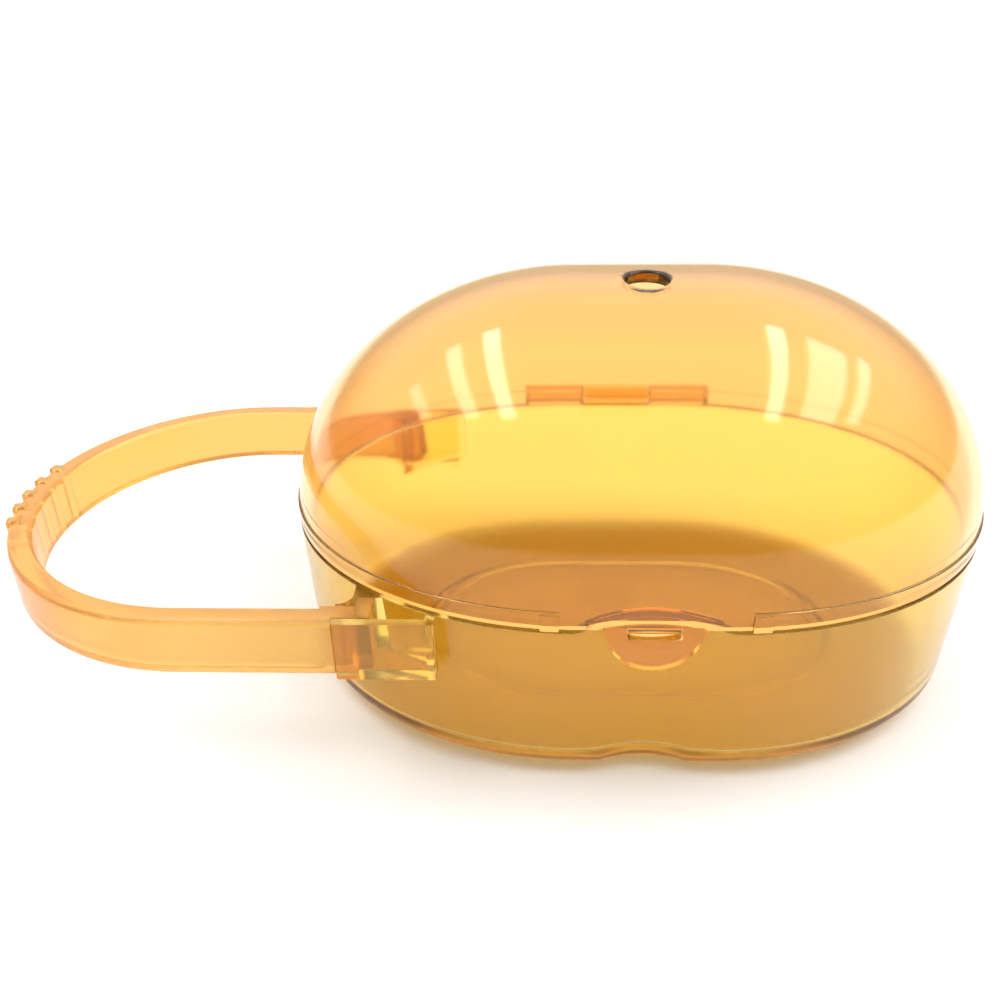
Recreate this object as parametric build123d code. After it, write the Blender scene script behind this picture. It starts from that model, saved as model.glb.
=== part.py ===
from build123d import *
import os
from math import pi, sqrt

# Pacifier sterilizer case: a base tray and a domed lid on a back hinge, with a soft carry strap.
# Frame: +Z up, the lid's hinge towards +Y, its latch tab towards -Y, the strap towards -X.
# The origin is at the middle of the foot, on the surface that the case stands on.

# Case outline, seen from above: a straight stretch in the middle and a half ellipse at each end.
rim_length = 100.5
rim_width = 67.4
flat_run = 18.4

# Base tray
seam_height = 25.7
base_wall = 1.9
floor_thickness = 2.0
base_draft = 1.2
bottom_radius = 3.2
foot_height = 1.0
foot_length = 65.0
foot_width = 34.8
well_margin = 2.2
seam_gap = 0.3
bead_width = 0.8

# Thumb recess in the front wall, a scoop that is deep at the rim and shallow at the foot
recess_radius = 13.9
recess_depth = 3.6
recess_foot_depth = 1.2
recess_blend = 5.0
recess_lip = 0.1

# Lid
lid_wall = 1.6
band_height = 2.8
band_proud = 0.25
band_edge_radius = 0.2
band_gap = 23.8
pad_width = 2.4
pad_proud = 0.25
dome_axis_rise = 0.95
vent_diameter = 5.9
vent_edge_radius = 0.6
vent_forward = 1.6
cover_thickness = 0.9

# Latch tab, its window, and the catch on the base that sits in it
tab_width = 12.4
tab_drop = 6.2
tab_thickness = 1.3
window_width = 6.9
window_height = 1.2
window_offset = 0.15
catch_bite = 0.3
catch_clearance = 0.2

# Hinge
hinge_setback = 1.75
hinge_rise = 1.4
knuckle_radius = 1.4
pin_radius = 0.6
base_knuckle_width = 11.0
lid_knuckle_width = 10.6
knuckle_gap = 0.3
pin_running_clearance = 0.05
pin_press = 0.01
bracket_drop = 5.0

# Carry strap
strap_width = 63.8
strap_reach = 93.65
strap_thickness = 3.5
strap_height = 8.75
strap_edge_radius = 0.9
strap_drop = 0.15
rib_count = 5
rib_pitch = 4.1
rib_width = 1.9
rib_proud = 0.4
rib_rise = 0.35

# Strap lugs on the base, and the hooked strap ends in them
lug_end = 40.7
lug_length = 13.1
lug_proud = 0.2
lug_drop = 0.35
lug_plate = 1.2
lug_edge_radius = 0.5
lug_cheek = 0.5
lug_fillet = 2.1
lug_ledge = 1.0
hook_offset = 2.8
hook_width = 2.0
hook_reach = 1.9
keyway_clearance = 0.15

# Derived sizes
half_length = rim_length / 2
half_width = rim_width / 2
half_flat = flat_run / 2
rim_top = seam_height - seam_gap
floor_bottom = foot_height
floor_top = floor_bottom + floor_thickness
wall_slope = base_draft / (rim_top - floor_bottom)
recess_slope = (recess_depth - recess_foot_depth) / (rim_top - floor_bottom)
dome_axis = seam_height + dome_axis_rise
dome_half_length = half_length - band_proud
dome_half_width = half_width - band_proud
recess_centre = -(half_width - recess_depth + recess_radius)
cut_margin = 1.0
above_all = seam_height + rim_width

tab_front = -dome_half_width
tab_back = tab_front + tab_thickness
window_top = seam_height - window_offset
window_bottom = window_top - window_height
recess_wall = -(half_width - recess_depth)

hinge_y = half_width + hinge_setback
hinge_z = seam_height + hinge_rise
hinge_half = base_knuckle_width / 2 + knuckle_gap + lid_knuckle_width

strap_outer = strap_width / 2
strap_inner = strap_outer - strap_thickness
strap_top = seam_height - strap_drop
strap_bottom = strap_top - strap_height
strap_centre = strap_outer - strap_reach
lug_root = half_width / 2
lug_outer = strap_outer + lug_proud
keyway_outer = lug_outer - lug_plate
tongue_outer = keyway_outer - keyway_clearance
hook_start = -(lug_end - hook_offset)
hook_end = hook_start + hook_width
hook_inner = strap_inner - hook_reach
lug_bottom = strap_bottom - lug_drop
ledge_top = lug_bottom + lug_ledge


def slab(x_low, x_high, y_low, y_high, z_low, z_high):
    """A box between two corners."""
    size = Box(x_high - x_low, y_high - y_low, z_high - z_low)
    return Pos((x_low + x_high) / 2, (y_low + y_high) / 2, (z_low + z_high) / 2) * size


def oval(along, across):
    """The case's plan outline at a given half length and half width."""
    end = Ellipse(along - half_flat, across)
    return Rectangle(flat_run, 2 * across) + Pos(half_flat, 0) * end + Pos(-half_flat, 0) * end


def oval_slab(along, across, z_low, z_high):
    """A flat plate with the plan outline."""
    return Pos(0, 0, z_low) * extrude(oval(along, across), z_high - z_low)


def recess_cutter(wall, z):
    """A plan of what the thumb recess takes away, with flared sides, at a depth into the wall and a height."""
    drop = rim_top - z
    front = -(half_width - wall - wall_slope * drop) - recess_lip
    centre_y = recess_centre + (wall_slope - recess_slope) * drop
    outline = Pos(0, front - recess_radius) * Rectangle(4 * recess_radius, 2 * recess_radius)
    outline += Pos(0, centre_y) * Circle(recess_radius + wall)
    corners = [v for v in outline.vertices() if abs(v.Y - front) < recess_lip and abs(v.X) < recess_radius + wall]
    return fillet(corners, max(recess_blend - wall, bead_width))


def bowl(wall, z_bottom, z_top, edge_radius):
    """A tapered block with a rounded bottom edge and a thumb recess, at a depth into the tray's wall."""
    outlines = []
    for z in (z_bottom, z_top):
        inset = wall + wall_slope * (rim_top - z)
        outlines.append(Pos(0, 0, z) * oval(half_length - inset, half_width - inset))
    cutters = []
    for z in (z_bottom - cut_margin, z_top + cut_margin):
        cutters.append(Pos(0, 0, z) * recess_cutter(wall, z))
    block = loft(outlines, ruled=True)
    block = fillet(block.faces().sort_by(Axis.Z)[0].edges(), edge_radius)
    return block - loft(cutters, ruled=True)


def rim_slab(wall, z_low, z_high):
    """A straight-sided block with the recessed outline, at a depth into the tray's wall."""
    outline = oval(half_length - wall, half_width - wall) - recess_cutter(wall, rim_top)
    return Pos(0, 0, z_low) * extrude(outline, z_high - z_low)


def domed(along, across, z_bottom):
    """A straight-sided oval block under half a body of revolution about the case's long axis."""
    upper_half = oval(along, across) & Pos(0, across) * Rectangle(4 * along, 2 * across)
    crown = Pos(0, 0, dome_axis) * revolve(upper_half, Axis.X, 180)
    return oval_slab(along, across, z_bottom, dome_axis) + crown


def recess_column(radius, z_low, z_high):
    """An upright round column on the thumb recess's centre."""
    column = Cylinder(radius, z_high - z_low)
    return Pos(0, recess_centre, (z_low + z_high) / 2) * column


def mirrored_pair(piece):
    """A piece and its copy on the other side of the case's long axis."""
    return piece + mirror(piece, Plane.XZ)


def tray_shell():
    """The tapered bowl with its floor, thumb recess, foot and rim bead."""
    outside = bowl(0, floor_bottom, rim_top, bottom_radius)
    foot = oval_slab(foot_length / 2, foot_width / 2, 0, floor_bottom + floor_thickness / 2)
    inner_radius = max(bottom_radius - base_wall, base_wall / 2)
    cavity = bowl(base_wall, floor_top, rim_top + cut_margin, inner_radius)
    well = oval_slab(
        foot_length / 2 - well_margin,
        foot_width / 2 - well_margin,
        floor_thickness,
        floor_top + cut_margin,
    )
    bead = rim_slab(base_wall - bead_width, rim_top - bead_width, seam_height)
    bead -= rim_slab(base_wall, 0, above_all)
    return outside + foot - cavity - well + bead


def catch():
    """The wedge on the recess wall that the latch tab's window drops over."""
    half = window_width / 2 - catch_clearance
    root = recess_wall + base_wall / 2
    tip = tab_back - catch_bite
    low = window_bottom + catch_clearance
    high = window_top - catch_clearance
    side = Plane.YZ * make_face(
        Polyline((root, low), (tip, low), (tip, (low + high) / 2), (tab_back, high), (root, high), close=True)
    )
    return extrude(side, half, both=True)


def hinge_barrel(x_low, x_high):
    """A round barrel on the hinge axis."""
    barrel = Rot(0, 90, 0) * Cylinder(knuckle_radius, x_high - x_low)
    return Pos((x_low + x_high) / 2, hinge_y, hinge_z) * barrel


def hinge_bore(radius):
    """The hole for the pin, right through the hinge."""
    return Pos(0, hinge_y, hinge_z) * Rot(0, 90, 0) * Cylinder(radius, 2 * hinge_half + 2 * cut_margin)


def base_hinge():
    """The middle knuckle on a bracket that runs down to the tray's back wall."""
    half = base_knuckle_width / 2
    root = half_width - base_wall / 2
    heel = knuckle_radius / sqrt(2)
    side = Plane.YZ * make_face(
        Polyline(
            (root, rim_top),
            (hinge_y, rim_top),
            (hinge_y + heel, hinge_z - heel),
            (root, rim_top - bracket_drop),
            close=True,
        )
    )
    knuckle = extrude(side, half, both=True) + hinge_barrel(-half, half)
    return knuckle - hinge_bore(pin_radius + pin_running_clearance)


def strap_lug():
    """One keyway lug: an outer plate, an end wall, a hooked lip and a floor under the strap's hook."""
    left = -lug_end
    right = left + lug_length
    fillet_y = strap_inner - keyway_clearance - lug_cheek - lug_fillet
    block = slab(left, right, lug_root, lug_outer, lug_bottom, rim_top)
    low = lug_bottom - cut_margin
    high = rim_top + cut_margin
    block -= slab(left - cut_margin, left + lug_fillet, lug_root - cut_margin, fillet_y, low, high)
    block -= Pos(left, fillet_y, lug_bottom) * Cylinder(lug_fillet, 2 * above_all)
    slot_inner = strap_inner - keyway_clearance
    block -= slab(left - cut_margin, hook_end, slot_inner, keyway_outer, low, high)
    pocket = slab(
        hook_start - keyway_clearance,
        right - lug_plate,
        hook_inner - keyway_clearance,
        keyway_outer,
        low,
        high,
    )
    ledge = slab(
        hook_start + keyway_clearance,
        right - lug_plate / 2,
        hook_inner - lug_ledge,
        lug_outer - lug_plate / 2,
        lug_bottom,
        ledge_top,
    )
    end_edges = block.edges().filter_by(Axis.Z).group_by(Axis.X)[0]
    plate_edges = [edge for edge in end_edges if edge.center().Y > strap_inner]
    return fillet(plate_edges, lug_edge_radius) - pocket + ledge


def base_tray():
    """The whole lower moulding."""
    inside = bowl(base_wall, floor_top, rim_top + cut_margin, base_wall / 2)
    lugs = mirrored_pair(strap_lug()) - inside
    hinge = base_hinge() - inside
    return tray_shell() + catch() + lugs + hinge


def lid_band():
    """The raised band round the lid's edge, left open in front of the latch tab."""
    band = oval_slab(half_length, half_width, seam_height, seam_height + band_height)
    band = fillet(band.faces().sort_by(Axis.Z)[-1].edges(), band_edge_radius)
    half = band_gap / 2
    pad_top = seam_height + band_height - pad_proud
    pads = oval_slab(half_length + pad_proud, half_width + pad_proud, seam_height, pad_top)
    pads &= slab(-half - pad_width, half + pad_width, -rim_width, -half_width / 2, 0, above_all)
    return band + pads - slab(-half, half, -rim_width, 0, 0, above_all)


def latch_tab():
    """The half-round tab that hangs from the lid's front edge, with its window."""
    radius = tab_width / 2
    straight = tab_drop - radius
    outline = Pos(0, -straight / 2) * Rectangle(tab_width, straight)
    outline += Pos(0, -straight) * (Circle(radius) & Pos(0, -radius) * Rectangle(2 * tab_width, tab_width))
    outline += Pos(0, cover_thickness / 2) * Rectangle(tab_width, cover_thickness)
    face = Plane((0, tab_back, seam_height), x_dir=(1, 0, 0), z_dir=(0, -1, 0)) * outline
    tab = extrude(face, tab_thickness)
    half = window_width / 2
    return tab - slab(-half, half, -rim_width, 0, window_bottom, window_top)


def lid_hinge():
    """The two outer knuckles, joined to the lid's edge at the height of its band."""
    near = base_knuckle_width / 2 + knuckle_gap
    root = half_width - band_proud - lid_wall / 2
    side = Plane.YZ * make_face(
        Polyline(
            (root, seam_height),
            (hinge_y, seam_height),
            (hinge_y, hinge_z + knuckle_radius),
            (root, seam_height + band_height),
            close=True,
        )
    )
    arm = Pos(near, 0, 0) * extrude(side, lid_knuckle_width)
    right = arm + hinge_barrel(near, near + lid_knuckle_width)
    both = right + mirror(right, Plane.YZ)
    return both - hinge_bore(pin_radius - pin_press)


def lid_dome():
    """The whole upper moulding."""
    outside = domed(dome_half_length, dome_half_width, seam_height)
    inside = domed(dome_half_length - lid_wall, dome_half_width - lid_wall, seam_height - cut_margin)
    cover = recess_column(recess_radius + base_wall / 2, seam_height, seam_height + cover_thickness) & outside
    shell = outside + lid_band() + lid_hinge() - inside + cover + latch_tab()
    shell -= Pos(0, -vent_forward, dome_axis + above_all / 2) * Cylinder(vent_diameter / 2, above_all)
    rim = shell.edges().filter_by(lambda edge: edge.is_closed).sort_by(Axis.Z)[-1]
    return fillet(rim, vent_edge_radius)


def hinge_pin():
    """The pin, a little shorter than the hinge so that its ends stay below the knuckles' faces."""
    return Pos(0, hinge_y, hinge_z) * Rot(0, 90, 0) * Cylinder(pin_radius, 2 * hinge_half - knuckle_gap)


def strap_section():
    """The strap's rounded section, in the plane across its straight arm."""
    middle = (strap_centre, strap_outer - strap_thickness / 2, (strap_top + strap_bottom) / 2)
    across = Plane(middle, x_dir=(0, 1, 0), z_dir=(1, 0, 0))
    return across * RectangleRounded(strap_thickness, strap_height, strap_edge_radius)


def strap_arm():
    """One straight arm with the thin tongue and the hook that go into its lug."""
    arm = extrude(strap_section(), -lug_end - strap_centre)
    overlap = strap_thickness / 2
    tongue = slab(-lug_end - overlap, hook_start, strap_inner, tongue_outer, strap_bottom, strap_top)
    hook = slab(hook_start, hook_end, hook_inner, tongue_outer, ledge_top, strap_top)
    return arm + tongue + hook


def grip_rib():
    """One rib across the outside of the strap's tip."""
    depth = strap_thickness / 2 + rib_proud
    middle = Plane((strap_centre, 0, (strap_top + strap_bottom) / 2), x_dir=(-1, 0, 0), z_dir=(0, 1, 0))
    outline = RectangleRounded(depth, strap_height + 2 * rib_rise, strap_edge_radius)
    face = middle * (Pos(strap_outer + rib_proud - depth / 2, 0) * outline)
    return extrude(face, rib_width / 2, both=True)


def carry_strap():
    """The soft U-shaped strap."""
    upright = Axis((strap_centre, 0, 0), (0, 0, 1))
    tip = revolve(strap_section(), upright, 180)
    strap = tip + mirrored_pair(strap_arm())
    for step in range(rib_count):
        turn = (step - (rib_count - 1) / 2) * rib_pitch / strap_outer
        strap += grip_rib().rotate(upright, turn * 180 / pi)
    return strap


os.makedirs("parts", exist_ok=True)
for make in (base_tray, lid_dome, hinge_pin, carry_strap):
    part = make()
    print(make.__name__, "valid", part.is_valid, "volume", round(part.volume, 1))
    export_step(part, "parts/" + make.__name__ + ".step")
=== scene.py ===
# %% [markdown]
# # A steriliser case for pacifiers
#
# The real object is a small see-through amber box: a tray that stands on an oval foot,
# a domed lid that swings on a hinge at the back, and a soft strap that hooks into two lugs.
# This lesson rebuilds each moulding in Blender around the CAD frame, which stays hidden.
# The frame is loaded first, because every size and place below follows from it.

from math import atan2, copysign, cos, pi, radians, sin, sqrt

import bmesh
import bpy
from mathutils import Matrix, Vector


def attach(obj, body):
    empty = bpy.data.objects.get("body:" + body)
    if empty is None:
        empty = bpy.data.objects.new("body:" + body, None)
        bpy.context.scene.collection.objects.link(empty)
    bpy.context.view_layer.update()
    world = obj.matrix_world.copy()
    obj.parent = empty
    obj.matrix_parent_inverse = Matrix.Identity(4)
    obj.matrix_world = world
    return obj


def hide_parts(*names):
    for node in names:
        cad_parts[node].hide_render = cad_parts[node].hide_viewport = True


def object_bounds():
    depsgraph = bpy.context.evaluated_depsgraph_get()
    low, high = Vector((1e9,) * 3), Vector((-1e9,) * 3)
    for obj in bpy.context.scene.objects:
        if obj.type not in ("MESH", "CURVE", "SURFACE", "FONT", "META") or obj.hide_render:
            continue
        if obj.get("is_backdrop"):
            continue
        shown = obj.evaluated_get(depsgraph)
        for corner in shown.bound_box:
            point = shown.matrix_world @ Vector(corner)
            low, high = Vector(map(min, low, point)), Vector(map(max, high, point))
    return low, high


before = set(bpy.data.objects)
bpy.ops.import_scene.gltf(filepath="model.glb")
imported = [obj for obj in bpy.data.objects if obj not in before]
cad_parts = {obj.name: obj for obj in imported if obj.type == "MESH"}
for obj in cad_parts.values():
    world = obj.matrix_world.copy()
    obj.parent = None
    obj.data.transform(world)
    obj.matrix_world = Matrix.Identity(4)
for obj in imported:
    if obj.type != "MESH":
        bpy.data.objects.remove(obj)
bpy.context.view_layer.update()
scene = bpy.context.scene

# %% [markdown]
# ## Camera
#
# The case is looked at from in front and a little above, near enough for the far side to look
# smaller. The camera is placed by its position and three angles, and its lens comes from the
# distance at which the picture plane would stand, counted in parts of the frame's width.

# %% Place the camera
camera_place = Vector((-0.015631, -0.130988, 0.102513))
camera_turn, camera_dip, camera_tilt = -0.0339756, 0.5360888, -0.0141520
lens_in_widths = 0.994179

forward = Vector(
    (sin(camera_turn) * cos(camera_dip), cos(camera_turn) * cos(camera_dip), -sin(camera_dip))
)
level_right = Vector((cos(camera_turn), -sin(camera_turn), 0))
level_up = level_right.cross(forward)
right = level_right * cos(camera_tilt) + level_up * sin(camera_tilt)
up = level_up * cos(camera_tilt) - level_right * sin(camera_tilt)

camera = bpy.data.objects.new("camera", bpy.data.cameras.new("camera"))
camera.data.sensor_width = 36
camera.data.lens = lens_in_widths * camera.data.sensor_width
camera.data.clip_start = 0.005
camera_axes = Matrix((right, up, -forward)).transposed()
camera.matrix_world = Matrix.Translation(camera_place) @ camera_axes.to_4x4()
scene.collection.objects.link(camera)
scene.camera = camera
print("lens", round(camera.data.lens, 1), "mm")

# %% [markdown]
# ## Sizes
#
# The mouldings are modelled in millimetres and brought to metres at the end, because small
# numbers near one are easier to read and kinder to the boolean solver. The names are those of
# the CAD source, so each piece fits the space that its solid holds.

# %% Name the driving sizes
MM = 0.001
half_length, half_width, half_flat = 50.25, 33.7, 9.2
seam, rim_top, floor_low, floor_top = 25.7, 25.4, 1.0, 3.0
tray_wall, draft, bottom_radius = 1.9, 1.2, 3.2
tray_mid = tray_wall / 2  # what joins the tray's wall is cut off in the middle of it
foot_half_length, foot_half_width, well_margin = 32.5, 17.4, 2.2
recess_radius, recess_depth, recess_foot_depth, recess_blend, recess_lip = 13.9, 3.6, 1.2, 5.0, 0.1
lid_wall, band_height, band_proud, band_gap_half = 1.6, 2.8, 0.25, 11.9
dome_axis, vent_radius, vent_edge, vent_y = 26.65, 2.95, 0.6, -1.6
hinge_y, hinge_z, knuckle_radius, pin_hole = 35.45, 27.1, 1.4, 0.59
strap_outer, strap_thickness, strap_low, strap_high = 31.9, 3.5, 16.8, 25.55
strap_centre, lug_end = -61.75, -40.7
sliver = 0.02  # two faces that would lie in one plane are kept this far apart
hair = 0.001  # a bevel that meets the middle of a face stops this far short of it
print("case", 2 * half_length, "x", 2 * half_width, "mm, seam at", seam, "mm")

# %% [markdown]
# ## Shared modelling steps
#
# A moulding is one closed skin, so its lumps are joined with the boolean modifier, which
# leaves no walls inside the plastic. Inner walls would bend the light and show as seams.
# The modifier's result replaces the mesh at once, and the tool is removed.

# %% Turn a bmesh into an object, and join or cut objects
def make_object(name, bm):
    """A closed bmesh becomes an object with its faces turned outwards."""
    bmesh.ops.remove_doubles(bm, verts=bm.verts, dist=1e-4)
    bmesh.ops.recalc_face_normals(bm, faces=bm.faces)
    mesh = bpy.data.meshes.new(name)
    bm.to_mesh(mesh)
    bm.free()
    made = bpy.data.objects.new(name, mesh)
    scene.collection.objects.link(made)
    return made


def use_tool(body, tool, operation):
    """Joins a tool to a body, cuts it away or keeps what they share, then removes the tool."""
    step = body.modifiers.new(operation, "BOOLEAN")
    step.operation = operation
    step.solver = "EXACT"
    step.object = tool
    graph = bpy.context.evaluated_depsgraph_get()
    result = bpy.data.meshes.new_from_object(body.evaluated_get(graph))
    body.modifiers.clear()
    bm = bmesh.new()
    bm.from_mesh(result)
    bmesh.ops.remove_doubles(bm, verts=bm.verts, dist=2e-3)
    bmesh.ops.dissolve_degenerate(bm, edges=bm.edges, dist=1e-3)
    bm.to_mesh(result)
    bm.free()
    body.data = result
    bpy.data.objects.remove(tool)
    return body


def report(piece):
    """Prints how many faces a piece has, its volume and any edge that isn't closed."""
    bm = bmesh.new()
    bm.from_mesh(piece.data)
    open_edges = sum(not edge.is_manifold for edge in bm.edges)
    volume = round(bm.calc_volume(), 1)
    print(piece.name, len(bm.faces), "faces", volume, "mm3,", open_edges, "open edges")
    bm.free()


# %% [markdown]
# A straight block is a face drawn from a few corners and extruded along one axis. A cube that
# is scaled and moved would do for the square ones only, and this way serves the others too.

# %% Blocks from a few corners
def only_verts(parts):
    """The points among the parts that an operator returns."""
    return [part for part in parts if isinstance(part, bmesh.types.BMVert)]


def block(axis, corners, low, high):
    """A prism: its corners lie across the named axis, and it runs from low to high along it."""
    place = {
        "X": lambda a, b: (low, a, b),
        "Y": lambda a, b: (a, low, b),
        "Z": lambda a, b: (a, b, low),
    }[axis]
    bm = bmesh.new()
    face = bm.faces.new([bm.verts.new(place(a, b)) for a, b in corners])
    grown = bmesh.ops.extrude_face_region(bm, geom=[face])["geom"]
    way = Vector([high - low if name == axis else 0 for name in "XYZ"])
    bmesh.ops.translate(bm, vec=way, verts=only_verts(grown))
    bmesh.ops.recalc_face_normals(bm, faces=bm.faces)
    return bm


def brick(low, high):
    """A block between two corners."""
    corners = [(low[0], low[1]), (high[0], low[1]), (high[0], high[1]), (low[0], high[1])]
    return block("Z", corners, low[2], high[2])


# %% [markdown]
# Rounding picks edges by where their middles are and bevels them, which is quicker than
# selecting by hand and still holds when a size changes. The hinge needs round bars, all on
# one line, so they have a function as well.

# %% Rounded edges and round bars
def bevel_edges(bm, edges, radius, steps):
    """Rounds edges off with a true arc."""
    bmesh.ops.bevel(
        bm, geom=edges, offset=radius, offset_type="OFFSET", segments=steps,
        profile=0.5, affect="EDGES", material=-1, clamp_overlap=True,
    )


def round_off(bm, radius, steps, chosen):
    """Bevels the edges whose middle passes the chosen test."""
    edges = [edge for edge in bm.edges if chosen((edge.verts[0].co + edge.verts[1].co) / 2)]
    bevel_edges(bm, edges, radius, steps)
    return bm


def barrel(radius, x_low, x_high, steps=48):
    """A round bar on the hinge line."""
    bm = bmesh.new()
    middle = Matrix.Translation(((x_low + x_high) / 2, hinge_y, hinge_z))
    bmesh.ops.create_cone(
        bm, cap_ends=True, segments=steps, radius1=radius, radius2=radius,
        depth=x_high - x_low, matrix=middle @ Matrix.Rotation(pi / 2, 4, "Y"),
    )
    return bm


# %% [markdown]
# ## The plan outline
#
# Seen from above, the case is a circle pulled into an ellipse, cut in two and moved apart, with
# a straight run between the halves. The ring below is a circle whose points are moved in just
# that way. Everything oval on the case is built from such rings, all with the same number of
# points, so that they bridge into clean bands of quads.

# %% One oval ring, and the next one from it
run_points, end_points = 12, 80


def shape_ring(bm, verts, along, across, z):
    """Puts a ring's points on the plan outline, at a height. Each point remembers its turn."""
    layer = bm.verts.layers.float["turn"]
    for vert in verts:
        turn = abs(vert[layer])
        step = min(turn, pi - turn) / (pi / 2) * (run_points + end_points)
        bend = max(step - run_points, 0) / end_points * pi / 2
        x = half_flat * min(step / run_points, 1) + (along - half_flat) * sin(bend)
        vert.co = (copysign(x, vert[layer]), copysign(across * cos(bend), pi / 2 - turn), z)
    return verts


def first_ring(bm, along, across, z):
    """A closed ring in the plan outline's shape."""
    layer = bm.verts.layers.float.new("turn")
    verts = bmesh.ops.create_circle(bm, segments=4 * (run_points + end_points), radius=1)["verts"]
    for vert in verts:
        vert[layer] = atan2(vert.co.x, vert.co.y)
    return shape_ring(bm, verts, along, across, z)


def edges_of(verts):
    """The edges of one ring."""
    inside = set(verts)
    links = {edge for vert in verts for edge in vert.link_edges if edge.other_vert(vert) in inside}
    return list(links)


def next_ring(bm, verts, along, across, z):
    """Extrudes a ring and puts the new points on an outline of another size or height."""
    grown = bmesh.ops.extrude_edge_only(bm, edges=edges_of(verts))["geom"]
    return shape_ring(bm, only_verts(grown), along, across, z)


# %% [markdown]
# ## Tray
#
# The tray is a bowl with a small draft, so it leaves its mould, and a thumb recess in
# front. It could be sculpted or cut from a block, but a moulded wall has one thickness
# everywhere, and rings keep it: each ring is the outline at one depth into the wall. The
# recess is pressed into each ring, an arc in the middle with a rounded shoulder at each side.

# %% Rings of the tray's wall
slope = draft / (rim_top - floor_low)
scoop = (recess_depth - recess_foot_depth) / (rim_top - floor_low)
least_shoulder = 0.8


def press_recess(verts, wall, drop):
    """Moves the front of a ring back into the thumb recess, less so as the ring lies lower."""
    radius = recess_radius + wall
    taper = slope * drop
    centre = -(half_width - recess_depth + recess_radius) + taper - scoop * drop
    shoulder = max(recess_blend - wall, least_shoulder)
    shoulder_y = -(half_width - wall - taper) - recess_lip + shoulder
    shoulder_x = sqrt((radius + shoulder) ** 2 - (shoulder_y - centre) ** 2)
    meet = shoulder_x * radius / (radius + shoulder)
    for vert in verts:
        x, y = abs(vert.co.x), vert.co.y
        if y < 0 and x <= meet:
            vert.co.y = max(y, centre + sqrt(radius**2 - x**2))
        elif y < 0 and x < shoulder_x:
            vert.co.y = max(y, shoulder_y - sqrt(shoulder**2 - (x - shoulder_x) ** 2))


def tray_ring(bm, verts, wall, z):
    """Extrudes a ring to a depth into the tray's wall, narrower towards the floor."""
    drop = max(rim_top - z, 0)
    inset = wall + slope * drop
    size = (half_length - inset, half_width - inset, z)
    verts = next_ring(bm, verts, *size) if verts else first_ring(bm, *size)
    press_recess(verts, wall, drop)
    return verts


# %% [markdown]
# The bowl's skin is bridged ring by ring: down the outside, in under the foot, back over the
# bead on the rim, down the inside and into the shallow well. Then the edges are bevelled,
# the large radius at the bottom first. A real moulding has no sharp edge, and each rounded one
# draws a fine bright or dark line in clear plastic.

# %% Build the bowl
bead_out, bead_top = 1.1, seam - 0.03
low_step, well_depth, hem_radius = 0.1, 1, 0.95 * bottom_radius
well_half = (foot_half_length - well_margin, foot_half_width - well_margin)
bowl = bmesh.new()
foot = first_ring(bowl, foot_half_length - low_step, foot_half_width - low_step, 0)
foot_join = next_ring(bowl, foot, foot_half_length, foot_half_width, floor_low)
hem = tray_ring(bowl, foot_join, 0, floor_low)
rim = tray_ring(bowl, hem, 0, rim_top)
step_out = tray_ring(bowl, rim, bead_out, rim_top)
bead_rise = tray_ring(bowl, step_out, bead_out, bead_top)
bead_fall = tray_ring(bowl, bead_rise, tray_wall, bead_top)
floor_edge = tray_ring(bowl, bead_fall, tray_wall, floor_top)
well_rim = next_ring(bowl, floor_edge, *well_half, floor_top)
well_low = (well_half[0] - low_step, well_half[1] - low_step)
well_floor = next_ring(bowl, well_rim, *well_low, floor_top - well_depth)
for cap in (foot, well_floor):
    bmesh.ops.edgeloop_fill(bowl, edges=edges_of(cap))

bevels = [
    (hem, hem_radius, 8),
    (floor_edge, bottom_radius - tray_wall, 5),
    (foot, 0.45, 4),
    (foot_join, 0.45, 4),
    (well_rim, 0.55, 4),
    (well_floor, 0.4, 4),
    (rim, 0.18, 3),
    (bead_rise, 0.15, 2),
    (bead_fall, 0.25, 3),
]
for ring, radius, steps in bevels:
    bevel_edges(bowl, edges_of(ring), radius, steps)
tray = make_object("tray", bowl)
report(tray)

# %% [markdown]
# Each lug is a deep keyway for one end of the strap: an outer plate, an end wall, and a lip
# that the strap's hook goes behind, with a small shelf as its floor. Its plan is drawn once as
# an outline and extruded, the concave corner and the plate's tip are bevelled round, and its
# root is cut off in the middle of the tray's wall, where the join can't show. The second lug
# is the first one mirrored.

# %% Shape a strap lug
lug_right, lug_out, lug_low = lug_end + 13.1, 32.1, 16.45
lip_y, pocket_y, keyway_out = 28.25, 26.35, 30.9
lip_right, lip_depth, end_wall, corner_reach = -38.05, 0.5, 1.2, 2.1
corner_radius, tip_radius, outer_radius = 2.09, 0.5, 0.35


def wall_core():
    """The space inside the middle of the tray's wall."""
    bm = bmesh.new()
    low = tray_ring(bm, None, tray_mid, floor_top)
    high = tray_ring(bm, low, tray_mid, rim_top + 5)
    for cap in (low, high):
        bmesh.ops.edgeloop_fill(bm, edges=edges_of(cap))
    return make_object("core", bm)


def upright_edges(bm, spot):
    """The upright edges that stand at a spot of the plan."""
    ends = [(edge, edge.verts[0].co, edge.verts[1].co) for edge in bm.edges]
    return [edge for edge, a, b in ends if abs(a.z - b.z) > 1 and (a.xy - spot).length < sliver]


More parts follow.
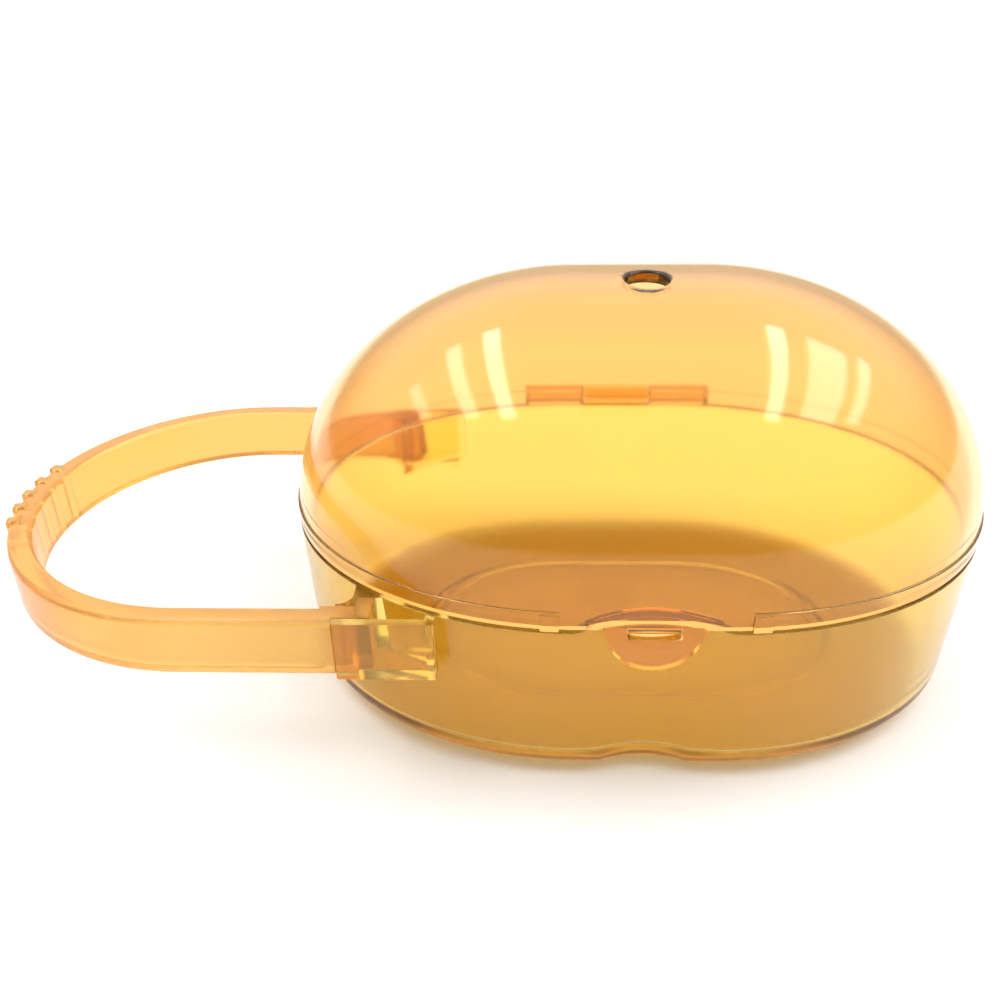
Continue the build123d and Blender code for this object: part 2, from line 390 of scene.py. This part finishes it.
def strap_lug(side):
    """One lug, on the side of the case that the sign gives."""
    plan = [
        (lug_end, lip_y),
        (lip_right, lip_y),
        (lip_right, pocket_y),
        (lug_right - end_wall, pocket_y),
        (lug_right - end_wall, keyway_out),
        (lug_end, keyway_out),
        (lug_end, lug_out),
        (lug_right, lug_out),
        (lug_right, half_width / 2),
        (lug_end + corner_reach, half_width / 2),
        (lug_end + corner_reach, lip_y - lip_depth),
        (lug_end, lip_y - lip_depth),
    ]
    bm = block("Z", plan, lug_low, rim_top - sliver)
    inner = Vector((lug_end + corner_reach, lip_y - lip_depth))
    tip = Vector((lug_end, lug_out))
    outer = Vector((lug_right, lug_out))
    for spot, radius in ((inner, corner_radius), (tip, tip_radius), (outer, outer_radius)):
        bevel_edges(bm, upright_edges(bm, spot), radius, 8)
    bmesh.ops.scale(bm, vec=(1, side, 1), verts=bm.verts)
    return make_object("lug", bm)


# %% [markdown]
# Each lug is cut off inside the wall first and joined after, and its shelf is joined last. A
# lug that ran on into the bowl would show as a lump behind the clear wall.

# %% Join both lugs and their shelves
shelf_left, shelf_gap, shelf_height = -37.75, 0.6, 1
shelf_sides = (25.5, 31.5)
for side in (-1, 1):
    lug = use_tool(strap_lug(side), wall_core(), "DIFFERENCE")
    tray = use_tool(tray, lug, "UNION")
    near_y, far_y = sorted(side * y for y in shelf_sides)
    shelf_low = (shelf_left, near_y, lug_low + sliver)
    shelf_high = (lug_right - shelf_gap, far_y, lug_low + shelf_height)
    tray = use_tool(tray, make_object("shelf", brick(shelf_low, shelf_high)), "UNION")
report(tray)

# %% [markdown]
# The catch is a small wedge on the recess wall that the lid's tab snaps over, and the middle
# knuckle stands on a bracket at the back. The pin's hole goes through the knuckle last.

# %% Add the catch and the middle knuckle
tab_back = -32.15
catch_root, catch_tip = -(half_width - recess_depth) + tray_mid, tab_back - 0.3
catch_low, catch_step, catch_high, catch_half = 24.55, 24.95, 25.35, 3.25
wedge = [
    (catch_root, catch_low),
    (catch_tip, catch_low),
    (catch_tip, catch_step),
    (tab_back, catch_high),
    (catch_root, catch_high),
]
tray = use_tool(tray, make_object("catch", block("X", wedge, -catch_half, catch_half)), "UNION")

knuckle_half, running_bore = 5.5, 0.65
heel, bracket_drop = knuckle_radius * 0.65, 5
bracket = [
    (half_width - tray_mid, rim_top - sliver),
    (hinge_y, rim_top - sliver),
    (hinge_y + heel, hinge_z - heel),
    (half_width - tray_mid, rim_top - bracket_drop),
]
bracket = block("X", bracket, sliver - knuckle_half, knuckle_half - sliver)
tray = use_tool(tray, make_object("bracket", bracket), "UNION")
knuckle = barrel(knuckle_radius, -knuckle_half, knuckle_half)
tray = use_tool(tray, make_object("knuckle", knuckle), "UNION")
bore_half = knuckle_half + 0.5
bore = barrel(running_bore, -bore_half, bore_half, 32)
tray = use_tool(tray, make_object("bore", bore), "DIFFERENCE")
report(tray)

# %% [markdown]
# ## Lid
#
# The dome is the plan outline turned about the case's long axis, so half of an oval ring is
# spun through half a turn. A sphere that is scaled would lose the straight run on top. The
# same function makes the space inside, a wall's thickness smaller, and the difference of the
# two is the shell.

# %% Spin the dome
dome_length, dome_width = half_length - band_proud, half_width - band_proud
dome_steps = 72


def dome(along, across, z_low, edge_radius=0):
    """A closed dome with a short upright skirt, whose lower edge may be rounded."""
    bm = bmesh.new()
    first_ring(bm, along, across, dome_axis)
    back_half = [vert for vert in bm.verts if vert.co.y > sliver]
    bmesh.ops.delete(bm, geom=back_half, context="VERTS")
    bmesh.ops.spin(
        bm, geom=bm.verts[:] + bm.edges[:], cent=(0, 0, dome_axis), axis=(-1, 0, 0),
        angle=pi, steps=dome_steps, use_merge=False, use_duplicate=False,
    )
    bmesh.ops.remove_doubles(bm, verts=bm.verts, dist=1e-3)
    edge_loop = [edge for edge in bm.edges if edge.is_boundary]
    skirt = bmesh.ops.extrude_edge_only(bm, edges=edge_loop)["geom"]
    low = only_verts(skirt)
    bmesh.ops.translate(bm, vec=(0, 0, z_low - dome_axis), verts=low)
    bmesh.ops.edgeloop_fill(bm, edges=edges_of(low))
    if edge_radius:
        bevel_edges(bm, edges_of(low), edge_radius, 3)
    return make_object("dome", bm)


lid_edge = 0.3
lid = dome(dome_length, dome_width, seam, lid_edge)
lid.name = "lid"
report(lid)

# %% [markdown]
# A raised band runs round the lid's edge and stops short of the latch on both sides, where
# each end has a small square pad. Band, pads and hinge arms reach to the middle of the wall, so
# the join with the dome lies inside the plastic.

# %% Add the band, the pads and the hinge arms
band = bmesh.new()
mid_wall = band_proud + lid_wall / 2
band_low, band_high = seam + sliver, seam + band_height
top_radius, low_radius = 0.22, 0.5
clear_front, clear_inside = -40, -20  # y in front of the case, and y well inside it
gap_low, gap_high = 20, 35
rings = [first_ring(band, half_length - mid_wall, half_width - mid_wall, band_low)]
for inset, z in ((0, band_low), (0, band_high), (mid_wall, band_high), (mid_wall, band_low)):
    rings.append(next_ring(band, rings[-1], half_length - inset, half_width - inset, z))
bevel_edges(band, edges_of(rings[2]), top_radius, 4)
bevel_edges(band, edges_of(rings[1]), low_radius, 5)
band = make_object("band", band)
gap = brick((-band_gap_half, clear_front, gap_low), (band_gap_half, 0, gap_high))
band = use_tool(band, make_object("gap", gap), "DIFFERENCE")
lid = use_tool(lid, band, "UNION")

pad_near, pad_far, pad_back = band_gap_half, 14.3, -32.5
pad_front_near, pad_front_far = -33.88, -33.7  # the front follows the plan outline
pad_plan = [
    (pad_near, pad_front_near),
    (pad_far, pad_front_far),
    (pad_far, pad_back),
    (pad_near, pad_back),
]
arm_near, arm_far = 5.8, 16.4
arm_low, arm_high = hinge_z - knuckle_radius + 3 * sliver, hinge_z + knuckle_radius - 3 * sliver
arm_tip = hinge_y + knuckle_radius - sliver
for side in (-1, 1):
    pad = block("Z", [(side * x, y) for x, y in pad_plan], seam + 2 * sliver, band_high - 0.25)
    round_off(pad, 0.15, 3, lambda middle: middle.y < -33)
    lid = use_tool(lid, make_object("pad", pad), "UNION")
    x_low, x_high = sorted((side * arm_near, side * arm_far))
    arm = brick((x_low, half_width - mid_wall, arm_low), (x_high, arm_tip, arm_high))
    round_off(
        arm, (arm_high - arm_low) / 2 - hair, 12,
        lambda middle: middle.y > arm_tip - sliver and x_low < middle.x < x_high,
    )
    lid = use_tool(lid, make_object("arm", arm), "UNION")
lid = use_tool(lid, dome(dome_length - lid_wall, dome_width - lid_wall, seam - 1), "DIFFERENCE")
report(lid)

# %% [markdown]
# The half-round latch tab hangs from the front edge with a slot that drops over the catch, and
# a thin ledge closes the top of the thumb recess. The tab is a square block whose lower corners
# are bevelled by nearly half its width, which leaves a half circle without drawing one.

# %% Add the ledge and the tab
ledge = bmesh.new()
ledge_radius, ledge_thickness, ledge_front = recess_radius + tray_mid, 0.9, -32.65
ledge_y = -(half_width - recess_depth + recess_radius)
ledge_place = Matrix.Translation((0, ledge_y, seam + ledge_thickness / 2))
bmesh.ops.create_cone(
    ledge, cap_ends=True, segments=256, radius1=ledge_radius, radius2=ledge_radius,
    depth=ledge_thickness - sliver, matrix=ledge_place,
)
bmesh.ops.bisect_plane(
    ledge, geom=ledge.verts[:] + ledge.edges[:] + ledge.faces[:], plane_co=(0, ledge_front, 0),
    plane_no=(0, -1, 0), clear_outer=True,
)
bmesh.ops.edgeloop_fill(ledge, edges=[e for e in ledge.edges if e.is_boundary])
lid = use_tool(lid, make_object("ledge", ledge), "UNION")

tab_half = tab_drop = 6.2
tab_low, tab_top, tab_front = seam - tab_drop, seam + ledge_thickness, -dome_width + sliver
tab_face = [(-tab_half, tab_low), (tab_half, tab_low), (tab_half, tab_top), (-tab_half, tab_top)]
tab = block("Y", tab_face, tab_front, tab_back)
round_off(
    tab, tab_half - hair, 20,
    lambda middle: middle.z < tab_low + sliver and abs(middle.x) > tab_half - sliver,
)
round_off(tab, 0.2, 3, lambda middle: middle.y < tab_front + hair and middle.z < seam - 0.5)
tab = make_object("tab", tab)
slot_half, slot_low, slot_high = 3.45, 24.35, 25.55
slot_middle = (slot_low + slot_high) / 2
slot = brick((-slot_half, clear_front, slot_low), (slot_half, clear_inside, slot_high))
round_off(
    slot, 0.2, 3,
    lambda middle: abs(abs(middle.x) - slot_half) < sliver and abs(middle.z - slot_middle) > 0.5,
)
tab = use_tool(tab, make_object("slot", slot), "DIFFERENCE")
lid = use_tool(lid, tab, "UNION")

# %% [markdown]
# The steam vent is a round hole a little in front of the crown. Its tool is a turned profile
# with a flare at the top, bent to the dome's curve, so the hole's edge comes out evenly
# rounded. Cutting first and bevelling after would have to cope with the boolean's uneven
# points. The pin's hole goes through both arms in one cut.

# %% Cut the vent and the pin's hole
vent, vent_depth = bmesh.new(), 6
profile = [(0, -vent_depth), (vent_radius, -vent_depth), (vent_radius, -vent_edge)]
for turn in (22, 45, 68, 85):
    out, down = 1 - cos(radians(turn)), 1 - sin(radians(turn))
    profile.append((vent_radius + vent_edge * out, -vent_edge * down))
profile += [(vent_radius + vent_edge, 0.2), (0, 1)]
line = [vent.verts.new((radius, 0, z)) for radius, z in profile]
for first, second in zip(line, line[1:]):
    vent.edges.new((first, second))
bmesh.ops.spin(
    vent, geom=vent.verts[:] + vent.edges[:], cent=(0, 0, 0), axis=(0, 0, 1),
    angle=2 * pi, steps=96, use_merge=True,
)
crown = dome_axis + dome_width
for vert in vent.verts:
    vert.co.y += vent_y
    vert.co.z += crown - vert.co.y**2 / (2 * dome_width)
lid = use_tool(lid, make_object("vent", vent), "DIFFERENCE")
bore_half = arm_far + 0.6
lid = use_tool(lid, make_object("bore", barrel(pin_hole, -bore_half, bore_half, 32)), "DIFFERENCE")
report(lid)

# %% [markdown]
# ## Hinge pin
#
# A short rod with rounded ends, a sliver thinner than its hole, so no two faces share one
# place. It is made with the same round bar as the knuckle.

# %% Turn the pin
pin_radius, pin_half = pin_hole - sliver, 16.25
pin = barrel(pin_radius, -pin_half, pin_half, 40)
round_off(pin, 0.15, 2, lambda middle: abs(middle.x) > pin_half - 0.05)
pin = make_object("pin", pin)
report(pin)

# %% [markdown]
# ## Carry strap
#
# The strap is a soft bar bent into a U. A rounded section is drawn across one straight arm and
# swept: extruded to the bend, spun half a turn about the middle, and extruded back. A curve
# with a bevel would do it too, but the spin gives the same points on both straight arms.

# %% Sweep the strap
section = bmesh.new()
inner_y = strap_outer - strap_thickness
arm_end, strap_edge = lug_end - 0.05, 0.9
outline = [
    (inner_y, strap_low),
    (strap_outer, strap_low),
    (strap_outer, strap_high),
    (inner_y, strap_high),
]
face = section.faces.new([section.verts.new((arm_end, y, z)) for y, z in outline])
bmesh.ops.bevel(
    section, geom=section.verts[:], offset=strap_edge, offset_type="OFFSET", segments=5,
    profile=0.5, affect="VERTICES", material=-1,
)
bmesh.ops.delete(section, geom=section.faces[:], context="FACES_ONLY")


def run_on(bm, loop, way):
    """Extrudes a loop of edges and returns the new loop."""
    grown = bmesh.ops.extrude_edge_only(bm, edges=loop)["geom"]
    verts = only_verts(grown)
    bmesh.ops.translate(bm, vec=way, verts=verts)
    return edges_of(verts)


start = section.edges[:]
bend = run_on(section, start, (strap_centre - arm_end, 0, 0))
bend_verts = list({vert for edge in bend for vert in edge.verts})
spun = bmesh.ops.spin(
    section, geom=bend + bend_verts, cent=(strap_centre, 0, 0), axis=(0, 0, 1),
    angle=pi, steps=96, use_merge=False,
)["geom_last"]
bend_end = [part for part in spun if isinstance(part, bmesh.types.BMEdge)]
far_end = run_on(section, bend_end, (arm_end - strap_centre, 0, 0))
for cap in (start, far_end):
    bmesh.ops.edgeloop_fill(section, edges=cap)
strap = make_object("strap", section)
report(strap)

# %% [markdown]
# The thin tongue and hook at each end go into the lugs, and five low ribs give the thumb a
# grip at the tip. Each is a block joined to the bar, and the ribs are one block turned step by
# step about the bend's centre.

# %% Add the tongues, hooks and ribs
hook_out = 30.75
tongue = (lug_end - 1.8, -37.9, inner_y + sliver, strap_low)
hook = (-38.1, -35.9, 26.5, 17.45)
apart = 1e-4  # keeps the tops of tongue and hook out of one plane
for side in (-1, 1):
    for x_low, x_high, y_near, z_low in (tongue, hook):
        y_low, y_high = sorted((side * y_near, side * hook_out))
        z_high = strap_high - sliver - z_low * apart
        end = brick((x_low, y_low, z_low + sliver), (x_high, y_high, z_high))
        strap = use_tool(strap, make_object("end", end), "UNION")

rib_half, rib_depth, rib_rise, rib_edge, rib_pitch = 0.95, 2.15, 0.35, 0.5, 4.1
strap_middle, rib_end = (strap_low + strap_high) / 2, 4.5
for step in range(-2, 3):
    rib = brick((-rib_half, 0, strap_low - rib_rise), (rib_half, rib_depth, strap_high + rib_rise))
    round_off(
        rib, rib_edge, 4,
        lambda middle: middle.y > rib_depth - 0.05 or abs(middle.z - strap_middle) > rib_end,
    )
    bmesh.ops.translate(rib, vec=(0, strap_outer - strap_thickness / 2, 0), verts=rib.verts)
    turn = pi / 2 + step * rib_pitch / strap_outer
    bmesh.ops.rotate(rib, cent=(0, 0, 0), matrix=Matrix.Rotation(turn, 3, "Z"), verts=rib.verts)
    bmesh.ops.translate(rib, vec=(strap_centre, 0, 0), verts=rib.verts)
    strap = use_tool(strap, make_object("rib", rib), "UNION")
report(strap)

# %% [markdown]
# ## Finishing the meshes
#
# Faces that meet at a shallow angle are shaded smooth and the others stay crisp. The Weighted
# Normal modifier then lets the large faces decide the shading near a join, so the long cut
# faces that a boolean leaves don't bend the light in the wall. Last, the place and size go
# into the mesh, in metres, because every finished piece sits at the origin, unscaled.

# %% Shade the pieces and bring them to metres
def finish_piece(piece, crisp_angle=32):
    """Smooth shading with crisp edges, sized in metres."""
    piece.data.transform(Matrix.Scale(MM, 4))
    piece.data.shade_smooth()
    piece.data.set_sharp_from_angle(angle=radians(crisp_angle))
    weighted = piece.modifiers.new("weighted normals", "WEIGHTED_NORMAL")
    weighted.keep_sharp = True
    return piece


for piece in (tray, lid, pin, strap):
    finish_piece(piece)
bpy.context.view_layer.update()
for piece in (tray, lid, pin, strap):
    print(piece.name, [round(size / MM, 1) for size in piece.dimensions], "mm")

# %% [markdown]
# ## Nodes
#
# A finish is a network of nodes, and each node takes a few lines to make and link. Two
# helpers keep the networks below short: one makes a node with its settings, and the other
# links pairs of sockets.

# %% Add nodes and link them
def add_node(tree, kind, **settings):
    """A node with its settings; those written as input_NAME go to its sockets."""
    node = tree.nodes.new(kind)
    for name, value in settings.items():
        if name.startswith("input_"):
            node.inputs[name[6:].replace("_", " ")].default_value = value
        else:
            setattr(node, name, value)
    return node


def wire(tree, *pairs):
    """Links outputs to inputs."""
    for output, target in pairs:
        tree.links.new(output, target)


# %% [markdown]
# ## Marks of moulding and use
#
# No clear moulding is perfectly even. Its skin is faintly wavy where the plastic cooled, has a
# fine orange peel from the mould, and picks up hairline scratches when it is handled. All
# the amber parts share these, in their own amounts, so they are one node group that gives a
# height for a Bump node and a roughness. Object coordinates keep the pattern on the part.

# %% Make the shared group and its patterns
wave_scale, peel_scale, cloud_scale = 55, 900, 120
marks = bpy.data.node_groups.new("moulding_marks", "ShaderNodeTree")
for name, value in (("Waviness", 1.0), ("Scratches", 1.0), ("Polish", 0.04), ("Haze", 0.03)):
    socket = marks.interface.new_socket(name=name, in_out="INPUT", socket_type="NodeSocketFloat")
    socket.default_value = value
for name in ("Height", "Roughness"):
    marks.interface.new_socket(name=name, in_out="OUTPUT", socket_type="NodeSocketFloat")

group_in = add_node(marks, "NodeGroupInput")
group_out = add_node(marks, "NodeGroupOutput")
place = add_node(marks, "ShaderNodeTexCoord")
wave = add_node(marks, "ShaderNodeTexNoise", input_Scale=wave_scale, input_Detail=1)
wave.inputs["Roughness"].default_value = 0.4
peel = add_node(marks, "ShaderNodeTexNoise", input_Scale=peel_scale, input_Detail=1)
drag = add_node(marks, "ShaderNodeMapping")
drag.inputs["Rotation"].default_value = (0.3, 0.2, 0.5)
drag.inputs["Scale"].default_value = (90, 2600, 1900)
hairs = add_node(marks, "ShaderNodeTexNoise", input_Scale=1, input_Detail=1)
thin = add_node(marks, "ShaderNodeValToRGB")
thin.color_ramp.elements[0].position = 0.68
thin.color_ramp.elements[1].position = 0.76
cloud = add_node(marks, "ShaderNodeTexNoise", input_Scale=cloud_scale, input_Detail=3)
for pattern in (wave, peel, drag, cloud):
    wire(marks, (place.outputs["Object"], pattern.inputs["Vector"]))
print("patterns", wave_scale, peel_scale, cloud_scale, "to the metre")

# %% [markdown]
# Math nodes weigh the patterns and add them up. Scratches lower the skin and roughen it, and
# the cloudy noise makes the polish a little uneven, so no reflection is perfectly clean.

# %% Add the patterns up
peel_share, scratch_dip, scratch_haze = 0.035, -0.03, 0.12
wave_height = add_node(marks, "ShaderNodeMath", operation="MULTIPLY")
peel_height = add_node(marks, "ShaderNodeMath", operation="MULTIPLY_ADD")
peel_height.inputs[1].default_value = peel_share
scratch_mask = add_node(marks, "ShaderNodeMath", operation="MULTIPLY")
scratch_height = add_node(marks, "ShaderNodeMath", operation="MULTIPLY_ADD")
scratch_height.inputs[1].default_value = scratch_dip
haze = add_node(marks, "ShaderNodeMath", operation="MULTIPLY_ADD")
rough = add_node(marks, "ShaderNodeMath", operation="MULTIPLY_ADD")
rough.inputs[1].default_value = scratch_haze
wire(
    marks,
    (drag.outputs["Vector"], hairs.inputs["Vector"]),
    (hairs.outputs["Fac"], thin.inputs["Fac"]),
    (wave.outputs["Fac"], wave_height.inputs[0]),
    (group_in.outputs["Waviness"], wave_height.inputs[1]),
    (peel.outputs["Fac"], peel_height.inputs[0]),
    (wave_height.outputs[0], peel_height.inputs[2]),
    (thin.outputs["Color"], scratch_mask.inputs[0]),
    (group_in.outputs["Scratches"], scratch_mask.inputs[1]),
    (scratch_mask.outputs[0], scratch_height.inputs[0]),
    (peel_height.outputs[0], scratch_height.inputs[2]),
    (scratch_height.outputs[0], group_out.inputs["Height"]),
    (cloud.outputs["Fac"], haze.inputs[0]),
    (group_in.outputs["Haze"], haze.inputs[1]),
    (group_in.outputs["Polish"], haze.inputs[2]),
    (scratch_mask.outputs[0], rough.inputs[0]),
    (haze.outputs[0], rough.inputs[2]),
    (rough.outputs[0], group_out.inputs["Roughness"]),
)
print("group", marks.name, len(marks.nodes), "nodes")

# %% [markdown]
# ## Amber plastic
#
# Tinted clear plastic could take all its colour from a Volume Absorption node, but walls this
# thin would then be pale and the thick edges nearly red. So most of the colour is in the base
# colour, which tints what shows through the wall, and a Layer Weight node deepens it where the
# wall is seen at a grazing angle, as a longer way through the plastic would. A weak
# absorption keeps the thick edges orange. The strap is a softer, cloudy plastic: it is
# rougher, and a share of its light is scattered and not let through.

# %% A recipe for tinted plastic
deepen_from = 0.2  # how far from a square view the tint starts to deepen


def amber_plastic(name, tint, edge_tint, clear, density, absorb, wavy, scratches, polish, haze):
    """Tinted plastic: a tint, a deeper one at a grazing view, a clear share, and a colour inside."""
    made = bpy.data.materials.new(name)
    made.use_nodes = True
    tree = made.node_tree
    shader = tree.nodes["Principled BSDF"]
    shader.inputs["IOR"].default_value = 1.43
    shader.inputs["Metallic"].default_value = 0
    shader.inputs["Transmission Weight"].default_value = clear
    skin = add_node(tree, "ShaderNodeGroup", node_tree=marks)
    amounts = {"Waviness": wavy, "Scratches": scratches, "Polish": polish, "Haze": haze}
    for socket, value in amounts.items():
        skin.inputs[socket].default_value = value
    bump = add_node(tree, "ShaderNodeBump", input_Strength=0.6, input_Distance=0.00005)
    graze = add_node(tree, "ShaderNodeLayerWeight", input_Blend=0.5)
    deepen = add_node(tree, "ShaderNodeValToRGB")
    deepen.color_ramp.elements[0].position = deepen_from
    deepen.color_ramp.elements[0].color = (*tint, 1)
    deepen.color_ramp.elements[1].color = (*edge_tint, 1)
    inside = add_node(tree, "ShaderNodeVolumeAbsorption", input_Density=density)
    inside.inputs["Color"].default_value = (*absorb, 1)
    wire(
        tree,
        (skin.outputs["Height"], bump.inputs["Height"]),
        (bump.outputs["Normal"], shader.inputs["Normal"]),
        (skin.outputs["Roughness"], shader.inputs["Roughness"]),
        (graze.outputs["Facing"], deepen.inputs["Fac"]),
        (deepen.outputs["Color"], shader.inputs["Base Color"]),
        (inside.outputs["Volume"], tree.nodes["Material Output"].inputs["Volume"]),
    )
    return made


# %% [markdown]
# The tray's plastic is the yellower one, and the lid's the browner. The pin has the tray's
# tints with fewer marks, because it never leaves its hole.

# %% Mix the four plastics
lid_plastic = amber_plastic(
    "clear_amber_lid", tint=(0.97, 0.69, 0.35), edge_tint=(0.67, 0.475, 0.21), clear=1.0,
    density=50, absorb=(0.97, 0.74, 0.0), wavy=1.0, scratches=0.3, polish=0.06, haze=0.03,
)
tray_plastic = amber_plastic(
    "clear_amber_tray", tint=(1.0, 0.88, 0.36), edge_tint=(0.90, 0.63, 0.26), clear=1.0,
    density=60, absorb=(1.0, 0.74, 0.0), wavy=1.0, scratches=0.3, polish=0.12, haze=0.05,
)
pin_plastic = amber_plastic(
    "clear_amber_pin", tint=(1.0, 0.88, 0.36), edge_tint=(0.90, 0.63, 0.26), clear=1.0,
    density=60, absorb=(1.0, 0.74, 0.0), wavy=0.3, scratches=0.2, polish=0.12, haze=0.05,
)
strap_plastic = amber_plastic(
    "cloudy_amber_strap", tint=(0.95, 0.64, 0.21), edge_tint=(0.82, 0.38, 0.07), clear=0.82,
    density=90, absorb=(0.96, 0.72, 0.0), wavy=0.6, scratches=0.0, polish=0.2, haze=0.08,
)
print("plastics", len(bpy.data.materials))

# %% [markdown]
# Each piece now gets its plastic. It rides on the body that moves it and stands for the CAD node
# of the same place.

# %% Each piece's plastic, body, node and slot
for piece, finish, body, node, slot in (
    (tray, tray_plastic, "base", "base_tray", "case"),
    (lid, lid_plastic, "lid", "lid_dome", "lid"),
    (pin, pin_plastic, "lid", "hinge_pin", "pin"),
    (strap, strap_plastic, "strap", "carry_strap", "strap"),
):
    piece.data.materials.clear()
    piece.data.materials.append(finish)
    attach(piece, body)
    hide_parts(node)
    print(piece.name, "stands for", node, "with", finish.name)

# %% [markdown]
# ## Floor, room and lamps
#
# The floor is a large white sheet just under the foot: a floor that touched the foot in the
# same plane would leave patches of black in clear plastic.

# %% Lay the floor
floor_drop = 0.0002
floor_half = 3.0
floor_shape = bmesh.new()
bmesh.ops.create_grid(floor_shape, x_segments=1, y_segments=1, size=floor_half)
bmesh.ops.translate(floor_shape, vec=(0, 0, -floor_drop), verts=floor_shape.verts)
floor = make_object("floor", floor_shape)
floor_finish = bpy.data.materials.new("white_sheet")
floor_finish.use_nodes = True
sheet = floor_finish.node_tree.nodes["Principled BSDF"]
sheet.inputs["Base Color"].default_value = (0.93, 0.93, 0.93, 1)
sheet.inputs["Roughness"].default_value = 0.7
sheet.inputs["Specular IOR Level"].default_value = 0.2
floor.data.materials.append(floor_finish)
floor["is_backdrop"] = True
print("floor", 2 * floor_half, "m wide")

# %% [markdown]
# The room is a dome of soft light. It is warmer and dimmer near the horizon, which draws the
# lid's outline, and dimmer in front than behind, as in a room with one bright side. The camera
# itself sees a plain pale room instead, so the views from other sides stay quiet.

# %% Light the room
room = bpy.data.worlds.new("room")
scene.world = room
room.use_nodes = True
sky = room.node_tree
direction = add_node(sky, "ShaderNodeTexCoord")
height = add_node(sky, "ShaderNodeSeparateXYZ")
fade = add_node(sky, "ShaderNodeValToRGB")
fade.color_ramp.elements[0].position = 0.0
fade.color_ramp.elements[0].color = (0.48, 0.37, 0.27, 1)
fade.color_ramp.elements[1].position = 0.45
fade.color_ramp.elements[1].color = (1, 1, 1, 1)
middle = fade.color_ramp.elements.new(0.20)
middle.color = (0.62, 0.53, 0.46, 1)
behind = add_node(sky, "ShaderNodeMapRange", interpolation_type="SMOOTHSTEP")
for socket, value in (("From Min", -0.6), ("From Max", 0.5), ("To Min", 0.5), ("To Max", 1.20)):
    behind.inputs[socket].default_value = value
dim = add_node(sky, "ShaderNodeVectorMath", operation="SCALE")
seen = add_node(sky, "ShaderNodeLightPath")
backdrop = add_node(sky, "ShaderNodeMix", data_type="RGBA")
backdrop.inputs["B"].default_value = (0.78, 0.77, 0.75, 1)
wire(
    sky,
    (direction.outputs["Generated"], height.inputs["Vector"]),
    (height.outputs["Z"], fade.inputs["Fac"]),
    (height.outputs["Y"], behind.inputs["Value"]),
    (fade.outputs["Color"], dim.inputs["Vector"]),
    (behind.outputs["Result"], dim.inputs["Scale"]),
    (seen.outputs["Is Camera Ray"], backdrop.inputs["Factor"]),
    (dim.outputs["Vector"], backdrop.inputs["A"]),
    (backdrop.outputs["Result"], sky.nodes["Background"].inputs["Color"]),
)
room_level = 1.28
sky.nodes["Background"].inputs["Strength"].default_value = room_level
print("room", len(sky.nodes), "nodes")

# %% [markdown]
# Long strip lamps overhead give the pairs of bright bars on the dome. Clear plastic shows a
# lamp as its mirror image, so each lamp's size and place are chosen by where its bar lands,
# and its glow by how white the bar is.

# %% Hang the lamps
lamp_level, lamp_height = 1.32, 1.0


def strip_lamp(name, x, y, width, length, glow):
    """A soft lamp high above the case that shines straight down, with a given glow."""
    lamp = bpy.data.lights.new(name, "AREA")
    lamp.shape = "RECTANGLE"
    lamp.size, lamp.size_y = width, length
    lamp.energy = lamp_level * glow * pi * width * length
    made = bpy.data.objects.new(name, lamp)
    made.location = (x, y, lamp_height)
    scene.collection.objects.link(made)
    return made


for name, x, y, width, length, glow in (
    ("lamp_left", -0.41, 0.05, 0.10, 1.0, 6.0),
    ("lamp_far_left", -0.67, 0.08, 0.12, 0.9, 4.0),
    ("lamp_side_left", -1.12, 0.08, 0.16, 0.5, 2.5),
    ("lamp_right", 0.45, 0.0, 0.10, 1.0, 6.0),
    ("lamp_far_right", 0.80, 0.03, 0.32, 0.9, 3.5),
    ("lamp_side_right", 1.17, 0.12, 0.16, 0.9, 3.5),
):
    strip_lamp(name, x, y, width, length, glow)
print("lamps", len(bpy.data.lights))

# %% [markdown]
# Light that goes through the lid and the tray to the floor and back meets a dozen surfaces, so
# the path tracer is allowed more bounces than usual. The plain view transform keeps the floor
# white. The size of the finished model is printed.

# %% Set the light paths and write the sizes
scene.view_settings.view_transform = "Standard"
scene.cycles.max_bounces = 28
scene.cycles.transmission_bounces = 28
scene.cycles.glossy_bounces = 8

visual_box = [list(corner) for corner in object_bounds()]
rounded = [[round(number, 4) for number in corner] for corner in visual_box]
print("visual box in metres:", rounded)
